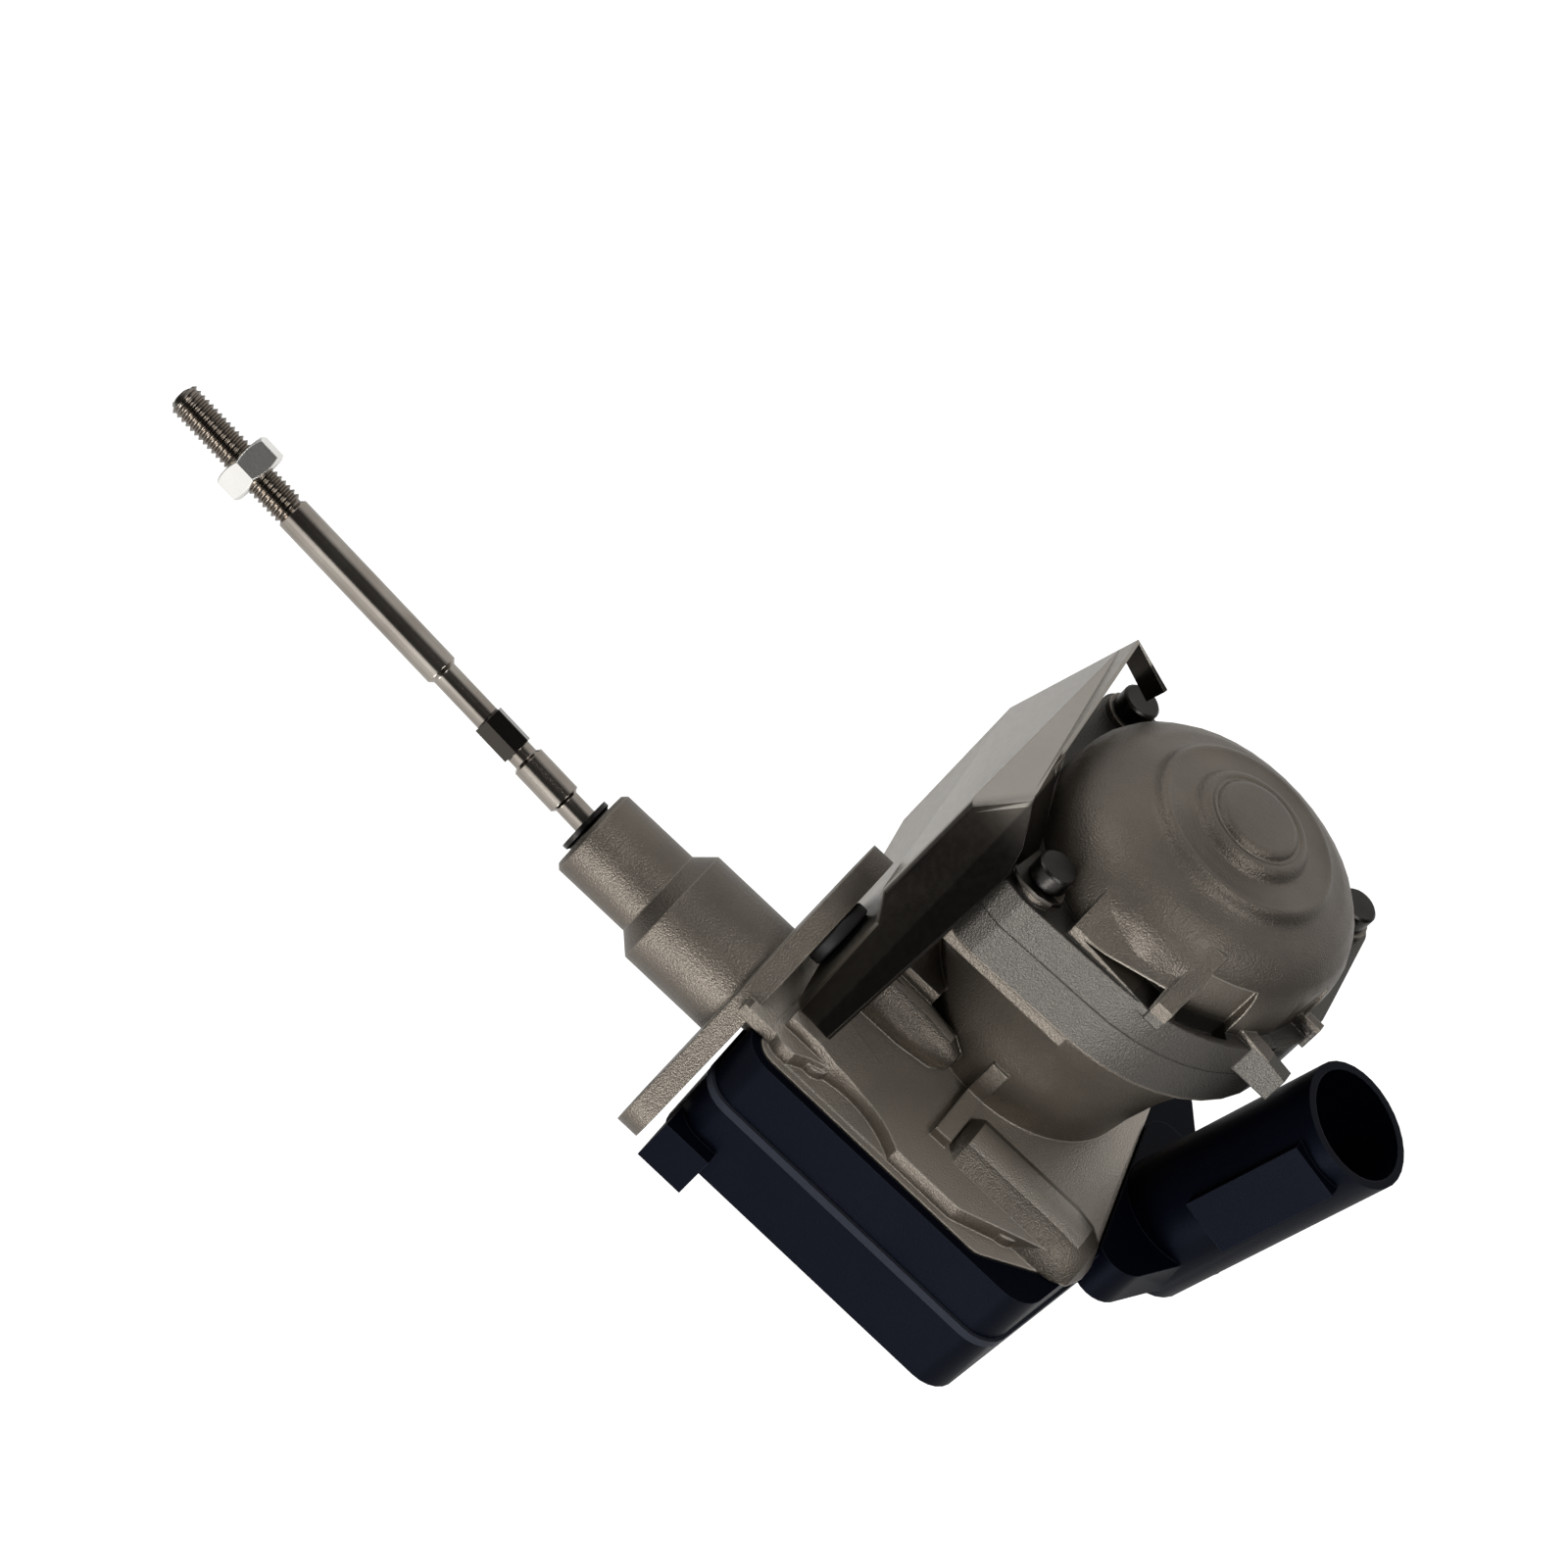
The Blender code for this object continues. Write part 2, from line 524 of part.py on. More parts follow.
NOTCH = hull((0, 0, COLLAR_OUT_R + GAP), (-12 * MM, 0, COLLAR_OUT_R + GAP))
cut(cover, extruded("tool", NOTCH, -14 * MM, -4 * MM, BLACK, X_AXIS))
socket = turned(
    "tool", [(0, PLUG_FLOOR), (PLUG_OUT_R - PLUG_WALL, PLUG_FLOOR), (PLUG_OUT_R - PLUG_WALL, 50 * MM),
             (0, 50 * MM)],
    BLACK, PLUG, 32,
)
cut(cover, socket)
PIN_SPOTS = [((k - (PIN_COUNT - 1) / 2) * PIN_PITCH, 0) for k in range(PIN_COUNT)]


def square(x, y, half):
    return [(x - half, y - half), (x + half, y - half), (x + half, y + half), (x - half, y + half)]


for k, (y, x) in enumerate(PIN_SPOTS):
    cut(cover, extruded("tool", square(x, y, PIN_WIDE / 2 + 0.1 * MM), 10.8 * MM, 17 * MM, BLACK, PLUG))
    extruded(f"connector_pin_{k + 1}", square(x, y, PIN_WIDE / 2), 11 * MM, 28 * MM, TIN, PLUG)
for k, (x, y) in enumerate(COVER_SCREWS):
    add(cover, upright(x, y, 3.3 * MM, COVER_LOW_Z + 1 * MM, SEAT_Z - 0.1 * MM, BLACK))
    cut(cover, upright(x, y, 1.7 * MM, -30 * MM, 2 * MM))
    cut(cover, upright(x, y, 2.9 * MM, -30 * MM, COVER_LOW_Z + 3 * MM))
    shank = [(0, COVER_LOW_Z + 0.6 * MM), (2.6 * MM, COVER_LOW_Z + 0.6 * MM),
             (2.6 * MM, COVER_LOW_Z + 2.9 * MM),
             (1.25 * MM, COVER_LOW_Z + 2.9 * MM), (1.25 * MM, 4.4 * MM), (0, 4.4 * MM)]
    turned(f"cover_screw_{k + 1}", shank, ZINC, Matrix.Translation((x, y, 0)), 16)
gasket = bar(housing_outline(-0.1 * MM), SEAT_Z - SEAL + 0.1 * MM, SEAT_Z - 0.1 * MM, RUBBER)
gasket.name = "cover_gasket"
cut(gasket, bar(housing_outline(-1.9 * MM), -3 * MM, 3 * MM))
cut(gasket, extruded("tool", NOTCH, -14 * MM, -4 * MM, RUBBER, X_AXIS))

# Heat shield: one sheet behind the upper ear. Its near edge runs in a step and is folded back over the deck,
# and a forked leg goes under the first cap screw.
SHIELD_NEAR = ((-8.5, 8, 9.5), (-8.5, 1.7, 28), (-5.8, 0.2, 32.5), (-6.2, -6.5, 52), (-12.4, -9, 59.4))  # mm
SHIELD_FAR = ((-47.7, 9.1), (-14, 22), (-66, 28), (-53, 61), (-51, 66.2))  # Y, Z in mm, on one plane
sheet = bmesh.new()
near = [sheet.verts.new(Vector(spot) * MM) for spot in SHIELD_NEAR]
far = [sheet.verts.new(((-6.28 - 0.123 * y - 0.13 * z) * MM, y * MM, z * MM)) for y, z in SHIELD_FAR]
foot, middle, back, low, top = far
for trio in ((near[0], near[1], middle), (near[0], middle, foot), (near[1], near[2], middle),
             (near[2], back, middle), (middle, back, foot), (near[2], near[3], back),
             (near[3], low, back), (near[3], near[4], low)):
    sheet.faces.new(trio)
up_fold = near[4].co - near[0].co
off_fold = Vector((-7.0 * MM, 6.4 * MM, 1.4 * MM))
FLAP = [(0.03, 0.55), (0.05, 0.97), (0.82, 0.92), (0.9, 0.7), (0.97, 0.3)]  # along the fold, and off it
flap = [sheet.verts.new(near[0].co + up_fold * a + off_fold * b) for a, b in FLAP]
for trio in ((near[0], flap[0], near[1]), (flap[0], flap[1], near[1]), (near[1], flap[1], flap[2]),
             (near[1], flap[2], near[2]), (near[2], flap[2], near[3]), (near[3], flap[2], flap[3]),
             (near[3], flap[3], flap[4]), (near[3], flap[4], near[4])):
    sheet.faces.new(trio)
tab = [sheet.verts.new(spot.co + Vector((-8.8 * MM, 0.6 * MM, -3.0 * MM))) for spot in (top, low)]
sheet.faces.new([low, top, *tab])
hip = sheet.verts.new(near[4].co.lerp(top.co, 0.3))
sheet.faces.new([near[4], hip, low])
sheet.faces.new([hip, top, low])
FORK = ((5.2, 3.2), (3.0, 4.6), (-0.5, 4.8), (-3.2, 3.9), (-4.4, 2.4), (2.3, 2.4), (2.3, -2.4), (-2.8, -2.4),
        (-1.2, -3.2), (1.2, -4.4), (4.2, -4.4))  # mm, from the first cap screw, which clamps it
fork = [sheet.verts.new((LUGS[0][0] + x * MM, LUGS[0][1] + y * MM, FORK_Z)) for x, y in FORK]
sheet.faces.new(fork)
sheet.faces.new([near[4], fork[0], fork[-1]])
sheet.faces.new([near[4], fork[-1], hip])
fold = [sheet.edges.get(pair) for pair in zip(near, near[1:])]
bmesh.ops.bevel(sheet, geom=fold, offset=BEND_R, segments=3, profile=0.5, affect="EDGES")
bmesh.ops.recalc_face_normals(sheet, faces=sheet.faces)
shield = finish("heat_shield", sheet, STAINLESS)
thicken = shield.modifiers.new("thickness", "SOLIDIFY")
thicken.thickness = SHEET
thicken.offset = 0
graph = bpy.context.evaluated_depsgraph_get()
shield.data = bpy.data.meshes.new_from_object(shield.evaluated_get(graph))
shield.modifiers.clear()

# Motor: can, magnets, end plate and the armature on its shaft.
AT_MOTOR = Matrix.Translation((MOTOR_X, MOTOR_Y, 0))
can = [(8 * MM, 10.3 * MM), (19.3 * MM, 10.3 * MM), (19.3 * MM, 57 * MM), (18.2 * MM, 57 * MM),
       (18.2 * MM, 11.4 * MM), (8 * MM, 11.4 * MM)]
turned("motor_can", can, ZINC, AT_MOTOR, 32, ring=True)
end_plate = [(3 * MM, 52.5 * MM), (17.9 * MM, 52.5 * MM), (17.9 * MM, 56.5 * MM), (7 * MM, 56.5 * MM),
             (7 * MM, 59 * MM), (3 * MM, 59 * MM)]
turned("motor_end_plate", end_plate, BLACK, AT_MOTOR, 32, ring=True)
for name, middle in (("magnet_near", math.pi / 2), ("magnet_far", -math.pi / 2)):
    arc = [middle + math.radians(a) for a in range(-65, 66, 10)]
    outline = [(MOTOR_X + 17.9 * MM * math.cos(a), MOTOR_Y + 17.9 * MM * math.sin(a)) for a in arc]
    outline += [(MOTOR_X + 14 * MM * math.cos(a), MOTOR_Y + 14 * MM * math.sin(a)) for a in reversed(arc)]
    extruded(name, outline, 14 * MM, 48 * MM, FERRITE)
shaft = [(0, FAST_Z[0] - 0.5 * MM), (1.2 * MM, FAST_Z[0] - 0.5 * MM), (1.2 * MM, 57.5 * MM), (0, 57.5 * MM)]
rotor_shaft = seat(turned("rotor_shaft", shaft, STEEL, AT_MOTOR, 20), (MOTOR_X, MOTOR_Y, 0))
# One arm of the armature and the slot after it: radius in mm, and degrees from the arm's middle
ARM = (
    (13.4, -11.5), (13.4, 0), (13.4, 11.5), (12.2, 12), (11.2, 5), (7, 6), (7, 24), (11.2, 25), (12.2, 18)
)
slots = []
for k in range(12):
    a = math.tau * k / 12
    for r, turn in ARM:
        spot = a + math.radians(turn)
        slots.append((MOTOR_X + r * MM * math.cos(spot), MOTOR_Y + r * MM * math.sin(spot)))
armature = extruded("armature", slots, 18 * MM, 44 * MM, DARK)
cut(armature, upright(MOTOR_X, MOTOR_Y, 1.25 * MM, 10 * MM, 60 * MM, steps=20))
seat(armature, (MOTOR_X, MOTOR_Y, 0))
commutator = [(1.25 * MM, 46 * MM), (5 * MM, 46 * MM), (5 * MM, 51.5 * MM), (1.25 * MM, 51.5 * MM)]
seat(turned("commutator", commutator, COPPER, AT_MOTOR, 24, ring=True), (MOTOR_X, MOTOR_Y, 0))
lower_bearing = [(1.35 * MM, 5.6 * MM), (4.1 * MM, 5.6 * MM), (4.1 * MM, 10 * MM), (1.35 * MM, 10 * MM)]
turned("lower_bearing", lower_bearing, BRONZE, AT_MOTOR, 24, ring=True)
upper_bearing = [(1.35 * MM, 53 * MM), (2.9 * MM, 53 * MM), (2.9 * MM, 57 * MM), (1.35 * MM, 57 * MM)]
turned("upper_bearing", upper_bearing, BRONZE, AT_MOTOR, 24, ring=True)

# Gear train
outline = gear_outline(MOTOR_TEETH, FAST_MODULE, heading(MOTOR, IDLER), *MOTOR)
motor_pinion = extruded("motor_pinion", outline, *FAST_Z, STEEL)
cut(motor_pinion, upright(*MOTOR, 1.25 * MM, -30 * MM, 0, steps=20))
seat(motor_pinion, (*MOTOR, 0))
outline = gear_outline(WHEEL_TEETH, FAST_MODULE, heading(IDLER, MOTOR), *IDLER, tooth=False)
idler = extruded("idler_gear", outline, *FAST_Z, NYLON)
outline = gear_outline(PINION_TEETH, SLOW_MODULE, heading(IDLER, OUTPUT), *IDLER)
add(idler, extruded("tool", outline, SLOW_Z[0] - 0.2 * MM, FAST_Z[0] + 1 * MM, NYLON))
cut(idler, upright(*IDLER, PIN_R + RUNNING, -30 * MM, 5 * MM))
seat(idler, (*IDLER, 0))
outline = gear_outline(OUTPUT_TEETH, SLOW_MODULE, heading(OUTPUT, IDLER), *OUTPUT, tooth=False)
output = extruded("output_gear", outline, *SLOW_Z, NYLON)
outline = gear_outline(RACK_TEETH, RACK_MODULE, math.pi / 2, *OUTPUT)
add(output, upright(*OUTPUT, 4 * MM, SLOW_Z[1] - 1 * MM, 0, NYLON))
add(output, extruded("tool", outline, -RACK_Z, RACK_Z, NYLON))
cut(output, upright(*OUTPUT, PIN_R + RUNNING, -30 * MM, 8 * MM))
seat(output, (*OUTPUT, 0))
PIN_LOW_Z = COVER_LOW_Z + COVER_FLOOR + 0.3 * MM
for name, spot in (("idler_pin", IDLER), ("output_pin", OUTPUT)):
    upright(*spot, PIN_R, PIN_LOW_Z, 6.0 * MM, STEEL, name=name)
ring = [(2.4 * MM, SLOW_Z[0] - 2.2 * MM), (5 * MM, SLOW_Z[0] - 2.2 * MM), (5 * MM, SLOW_Z[0] - 0.1 * MM),
        (2.4 * MM, SLOW_Z[0] - 0.1 * MM)]
at_output = Matrix.Translation((*OUTPUT, 0))
seat(turned("sensor_magnet", ring, FERRITE, at_output, 24, ring=True), (*OUTPUT, 0))
board = block("sensor_board", (OUTPUT_X - 9 * MM, OUTPUT[1] - 8 * MM, PIN_LOW_Z),
              (OUTPUT_X + 9 * MM, OUTPUT[1] + 12 * MM, PIN_LOW_Z + 1.2 * MM), BOARD)
cut(board, upright(*OUTPUT, PIN_R + GAP, -30 * MM, 0))

# Plunger: a round slide with its rack cut along the side of the output pinion, and a tail in the rear bush.
FAR_Y = 3.2 * MM
root_y = RACK_LINE_Y + 1.15 * RACK_MODULE
tip_y = RACK_LINE_Y - 0.8 * RACK_MODULE
outline = [(RACK_FRONT_X, root_y), (RACK_FRONT_X, FAR_Y), (RACK_BACK_X, FAR_Y), (RACK_BACK_X, root_y)]
for k in range(-5, 4):
    middle = OUTPUT_X + (k + 0.5) * math.pi * RACK_MODULE
    outline += [(middle - 1.1 * MM, root_y), (middle - 0.45 * MM, tip_y), (middle + 0.45 * MM, tip_y),
                (middle + 1.1 * MM, root_y)]
plunger = extruded("plunger", outline, -2.85 * MM, 2.85 * MM, STEEL)
slide = turned(
    "tool", [(0, -15.4 * MM), (PLUNGER_R, -15.4 * MM), (PLUNGER_R, 35.8 * MM), (PLUNGER_LIP_R, 36.1 * MM),
             (PLUNGER_LIP_R, PLUNGER_FRONT_X), (0, PLUNGER_FRONT_X)],
    STEEL, X_AXIS, 32,
)
add(plunger, slide, along_x(TAIL_R, TAIL_END_X, RACK_BACK_X + 1 * MM, STEEL, 24))
cup_r = BALL_R + 0.1 * MM
turns = [math.radians(d) for d in range(0, 127, 18)]
cup = [(cup_r * math.sin(a), BALL_X - cup_r * math.cos(a)) for a in turns]
cup += [(2.8 * MM, BALL_X + 2.3 * MM), (3.9 * MM, PLUNGER_FRONT_X + 0.5 * MM),
        (0, PLUNGER_FRONT_X + 0.5 * MM)]
cut(plunger, turned("tool", cup, STEEL, X_AXIS, 24))
bush = [(PLUNGER_R + RUNNING, 8.3 * MM), (SNOUT_BORE_R - 0.1 * MM, 8.3 * MM),
        (SNOUT_BORE_R - 0.1 * MM, 27 * MM),
        (PLUNGER_R + RUNNING, 27 * MM)]
turned("snout_bush", bush, BRONZE, X_AXIS, 32, ring=True)
seal = [(PLUNGER_R + RUNNING, 28.5 * MM), (SNOUT_BORE_R - 0.1 * MM, 28.5 * MM),
        (SNOUT_BORE_R - 0.1 * MM, 33.5 * MM),
        (PLUNGER_R + RUNNING, 33.5 * MM)]
turned("snout_seal", seal, RUBBER, X_AXIS, 32, ring=True)
bush = [(TAIL_R + RUNNING, TAIL_BUSH_X[0]), (TAIL_BUSH_R, TAIL_BUSH_X[0]), (TAIL_BUSH_R, TAIL_BUSH_X[1]),
        (TAIL_R + RUNNING, TAIL_BUSH_X[1])]
turned("tail_bush", bush, BRONZE, X_AXIS, 24, ring=True)

# Push rod on its ball, and the lock nut on its thread
ALONG_ROD = Matrix.Translation((BALL_X, 0, 0)) @ Matrix.Rotation(-ROD_TILT, 4, "Y") @ X_AXIS
ball = [(BALL_R * math.sin(a), -BALL_R * math.cos(a)) for a in (math.radians(d) for d in range(0, 136, 15))]
rod = turned(
    "push_rod", ball + [
        (NECK_R, 2.9 * MM), (NECK_R, NECK_END), (COLLAR_R, NECK_END + 0.5 * MM),
        (COLLAR_R, COLLAR_END - 0.5 * MM),
        (THIN_R, COLLAR_END), (THIN_R, MAIN_START - 0.7 * MM), (MAIN_R, MAIN_START), (MAIN_R, THREAD_START),
        (THREAD_R, THREAD_START + 0.3 * MM), (THREAD_R, TIP_END - 0.8 * MM), (2.1 * MM, TIP_END),
        (0, TIP_END),
    ],
    STEEL, ALONG_ROD, 28,
)


def hexagon(flats):
    return [(flats / math.sqrt(3) * math.cos(a), flats / math.sqrt(3) * math.sin(a))
            for a in (math.radians(60 * k) for k in range(6))]


add(rod, extruded("tool", hexagon(HEX_FLATS), HEX_START, HEX_END, STEEL, ALONG_ROD))
seat(rod, (BALL_X, 0, 0))
nut = extruded("lock_nut", hexagon(NUT_FLATS), NUT_MIDDLE - NUT_HEIGHT / 2, NUT_MIDDLE + NUT_HEIGHT / 2,
               ZINC, ALONG_ROD)
bore = turned("tool", [(0, 0), (THREAD_R + RUNNING, 0), (THREAD_R + RUNNING, 110 * MM),
                       (0, 110 * MM)], ZINC, ALONG_ROD)
cut(nut, bore)
seat(nut, ALONG_ROD @ Vector((0, 0, NUT_MIDDLE)))

# Edges made by the cuts and joins are sharp where they turn, and the round faces between them are smooth.
for obj in bpy.context.scene.objects:
    obj.data.shade_smooth()
    obj.data.set_sharp_from_angle(angle=math.radians(28))
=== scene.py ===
"""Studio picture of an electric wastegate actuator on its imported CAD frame. The cast, sheet, moulded and
turned surfaces get their finishes, and the rod and its nut get their thread and chamfers."""

import math

import bmesh
import bpy
from mathutils import Matrix, Vector


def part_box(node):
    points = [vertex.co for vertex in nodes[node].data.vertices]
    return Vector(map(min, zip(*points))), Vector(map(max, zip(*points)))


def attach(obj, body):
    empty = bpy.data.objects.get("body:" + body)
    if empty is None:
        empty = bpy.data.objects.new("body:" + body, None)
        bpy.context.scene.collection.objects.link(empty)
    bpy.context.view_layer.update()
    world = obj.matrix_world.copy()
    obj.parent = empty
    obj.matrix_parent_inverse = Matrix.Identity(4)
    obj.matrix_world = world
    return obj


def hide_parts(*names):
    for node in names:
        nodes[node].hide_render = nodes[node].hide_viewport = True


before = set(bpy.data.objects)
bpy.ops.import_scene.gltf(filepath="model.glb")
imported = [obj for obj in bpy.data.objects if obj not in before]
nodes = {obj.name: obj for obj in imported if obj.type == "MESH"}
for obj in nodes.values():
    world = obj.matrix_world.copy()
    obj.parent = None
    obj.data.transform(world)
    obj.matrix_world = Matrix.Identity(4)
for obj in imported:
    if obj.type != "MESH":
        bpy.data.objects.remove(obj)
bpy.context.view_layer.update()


# Shading of the solids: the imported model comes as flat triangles. Round faces are shaded smooth and edges
# over 30 degrees stay sharp. All but the shield also take normals that are weighted by the faces' size.
MM = 0.001


def smooth_faces():
    """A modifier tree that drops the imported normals, welds the triangles and shades round faces smooth."""
    tree = bpy.data.node_groups.new("smooth_faces", "GeometryNodeTree")
    for way in ("INPUT", "OUTPUT"):
        tree.interface.new_socket("Geometry", in_out=way, socket_type="NodeSocketGeometry")
    start = tree.nodes.new("NodeGroupInput")
    plain = tree.nodes.new("GeometryNodeRemoveAttribute")
    plain.inputs["Name"].default_value = "custom_normal"
    weld = tree.nodes.new("GeometryNodeMergeByDistance")
    weld.inputs["Distance"].default_value = 0.002 * MM
    faces = tree.nodes.new("GeometryNodeSetShadeSmooth")
    faces.domain = "FACE"
    edges = tree.nodes.new("GeometryNodeSetShadeSmooth")
    edges.domain = "EDGE"
    angle = tree.nodes.new("GeometryNodeInputMeshEdgeAngle")
    small = tree.nodes.new("FunctionNodeCompare")
    small.data_type = "FLOAT"
    small.operation = "LESS_THAN"
    small.inputs[1].default_value = math.radians(30)
    end = tree.nodes.new("NodeGroupOutput")
    tree.links.new(angle.outputs["Unsigned Angle"], small.inputs[0])
    tree.links.new(small.outputs[0], edges.inputs["Shade Smooth"])
    steps = (start, plain, weld, faces, edges, end)
    for before, after in zip(steps, steps[1:]):
        tree.links.new(before.outputs[0], after.inputs[0])
    return tree


smoothing = smooth_faces()
for name, node in nodes.items():
    node.modifiers.new("smooth_faces", "NODES").node_group = smoothing
    if name != "heat_shield":
        even = node.modifiers.new("even_normals", "WEIGHTED_NORMAL")
        even.keep_sharp = True


# Castings: the housing and the cap, die cast in aluminium and blasted, with a painted highlight on their
# edges, partly for edges worn bright. Their joint band under the cap gets painted shade over a little greyer
# casting, and the up-facing deck at the pot's foot is painted paler, as painted light from above.
def surface(name, colour, stain, rough, metallic, patch=60, grain=1800, relief=0.0, edge=0.25, swing=0.08):
    """A Principled material. Two tones in soft patches, a fine grain in its gloss and relief, soft edges."""
    made = bpy.data.materials.new(name)
    made.use_nodes = True
    tree = made.node_tree
    shader = tree.nodes["Principled BSDF"]
    shader.inputs["Metallic"].default_value = metallic
    where = tree.nodes.new("ShaderNodeTexCoord")
    broad = tree.nodes.new("ShaderNodeTexNoise")
    broad.inputs["Scale"].default_value = patch
    broad.inputs["Detail"].default_value = 6
    tree.links.new(where.outputs["Object"], broad.inputs["Vector"])
    tones = tree.nodes.new("ShaderNodeValToRGB")
    tones.color_ramp.elements[0].position = 0.3
    tones.color_ramp.elements[0].color = (*stain, 1)
    tones.color_ramp.elements[1].position = 0.7
    tones.color_ramp.elements[1].color = (*colour, 1)
    tree.links.new(broad.outputs["Fac"], tones.inputs["Fac"])
    tree.links.new(tones.outputs["Color"], shader.inputs["Base Color"])
    fine = tree.nodes.new("ShaderNodeTexNoise")
    fine.inputs["Scale"].default_value = grain
    fine.inputs["Detail"].default_value = 3
    tree.links.new(where.outputs["Object"], fine.inputs["Vector"])
    gloss = ramp(tree, fine.outputs["Fac"], 0, 1, rough - swing, rough + swing)
    tree.links.new(gloss, shader.inputs["Roughness"])
    soft = tree.nodes.new("ShaderNodeBevel")
    soft.samples = 6
    soft.inputs["Radius"].default_value = edge * MM
    bump = tree.nodes.new("ShaderNodeBump")
    bump.inputs["Strength"].default_value = relief
    bump.inputs["Distance"].default_value = 0.3 * MM
    tree.links.new(soft.outputs["Normal"], bump.inputs["Normal"])
    tree.links.new(fine.outputs["Fac"], bump.inputs["Height"])
    tree.links.new(bump.outputs["Normal"], shader.inputs["Normal"])
    return made


def ramp(tree, value, start, stop, low=0.0, high=1.0, kind="LINEAR"):
    """A socket that goes from low to high while the value goes from start to stop."""
    made = tree.nodes.new("ShaderNodeMapRange")
    made.interpolation_type = kind
    made.inputs["From Min"].default_value = start
    made.inputs["From Max"].default_value = stop
    made.inputs["To Min"].default_value = low
    made.inputs["To Max"].default_value = high
    tree.links.new(value, made.inputs["Value"])
    return made.outputs["Result"]


def combine(tree, operation, *values):
    """A socket with this Math operation on sockets and numbers."""
    made = tree.nodes.new("ShaderNodeMath")
    made.operation = operation
    for slot, value in zip(made.inputs, values):
        if isinstance(value, bpy.types.NodeSocket):
            tree.links.new(value, slot)
        else:
            slot.default_value = value
    return made.outputs[0]


def axis(tree, value, name):
    """The X, Y or Z of a vector socket."""
    made = tree.nodes.new("ShaderNodeSeparateXYZ")
    tree.links.new(value, made.inputs["Vector"])
    return made.outputs[name]


def position(material, name):
    """Where a point of the piece lies along X, Y or Z, as a socket in its material."""
    tree = material.node_tree
    return axis(tree, tree.nodes["Texture Coordinate"].outputs["Object"], name)


def facing(material, name):
    """How far a flat face of the piece looks along X, Y or Z, as a socket in its material."""
    tree = material.node_tree
    return axis(tree, tree.nodes.new("ShaderNodeNewGeometry").outputs["True Normal"], name)


def blend_colour(material, mask, colour):
    """Blends the material's base colour to this one where the mask, a socket in its tree, is 1."""
    tree = material.node_tree
    base = tree.nodes["Principled BSDF"].inputs["Base Color"]
    mix = tree.nodes.new("ShaderNodeMix")
    mix.data_type = "RGBA"
    mix.inputs["B"].default_value = (*colour, 1)
    tree.links.new(mask, mix.inputs["Factor"])
    tree.links.new(base.links[0].from_socket, mix.inputs["A"])
    tree.links.new(mix.outputs["Result"], base)


def paint_edge_highlights(material, colour):
    """Lightens the material along its edges as a painted highlight; on the castings it also stands for edges
    worn bright.
    """
    tree = material.node_tree
    turn = tree.nodes.new("ShaderNodeVectorMath")
    turn.operation = "DOT_PRODUCT"
    tree.links.new(tree.nodes["Bevel"].outputs["Normal"], turn.inputs[0])
    tree.links.new(tree.nodes.new("ShaderNodeNewGeometry").outputs["Normal"], turn.inputs[1])
    blend_colour(material, ramp(tree, turn.outputs["Value"], 0.995, 0.85), colour)


def dress(material, *names):
    """Gives these CAD nodes this material."""
    for name in names:
        for slot in nodes[name].material_slots:
            slot.material = material


cast = surface("cast", (0.185, 0.160, 0.131), (0.125, 0.108, 0.091), 0.40, 0.78, 55, 3000, 0.50, edge=0.5)
# Painted highlight along the cast edges, partly for edges worn bright.
paint_edge_highlights(cast, (0.34, 0.31, 0.265))
joint_middle = 43.5 * MM
joint_half = 7.5 * MM
band_painted_shade = combine(cast.node_tree, "COMPARE", position(cast, "Z"), joint_middle, joint_half)
# Painted shade on the joint band under the cap, over a casting that is a little greyer there.
blend_colour(cast, band_painted_shade, (0.090, 0.083, 0.074))
deck_top = 14 * MM
deck_front = -3 * MM
level = ramp(cast.node_tree, facing(cast, "Z"), 0.90, 0.97)
low_down = combine(cast.node_tree, "LESS_THAN", position(cast, "Z"), deck_top)
behind = combine(cast.node_tree, "LESS_THAN", position(cast, "X"), deck_front)
deck_painted_light = combine(cast.node_tree, "MULTIPLY", combine(cast.node_tree, "MULTIPLY", level, low_down), behind)
# Painted light: the up-facing deck at the pot's foot is painted paler, as if lit from above.
blend_colour(cast, deck_painted_light, (0.52, 0.47, 0.41))
dress(cast, "gear_housing", "motor_cap")


# Crown of the cap: the stepped rings in the middle of its casting, one form turned round the dome's axis,
# which is 1.5 mm to the rear of the motor's. It stands up to 2.4 mm over the solid, and its skirt sinks in.
def joined(shape, points):
    """Adds a row of vertices joined by edges and returns them all."""
    dots = [shape.verts.new(spot) for spot in points]
    return dots + [shape.edges.new(pair) for pair in zip(dots, dots[1:])]


def turned(shape, profile, middle=(0, 0, 0), steps=48):
    """Spins a line of radii and heights once round an upright axis through this middle."""
    points = [(middle[0] + r, middle[1], z) for r, z in profile]
    bmesh.ops.spin(
        shape, geom=joined(shape, points), cent=middle, axis=(0, 0, 1), angle=math.tau, steps=steps,
        use_merge=True,
    )


def placed(name, shape, material, body):
    """Makes a piece of this bmesh in the row frame, in this material, riding on this body."""
    bmesh.ops.remove_doubles(shape, verts=shape.verts, dist=0.002 * MM)
    bmesh.ops.recalc_face_normals(shape, faces=shape.faces)
    mesh = bpy.data.meshes.new(name)
    shape.to_mesh(mesh)
    shape.free()
    mesh.materials.append(material)
    mesh.shade_smooth()
    mesh.set_sharp_from_angle(angle=math.radians(32))
    made = bpy.data.objects.new(name, mesh)
    bpy.context.scene.collection.objects.link(made)
    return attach(made, body)


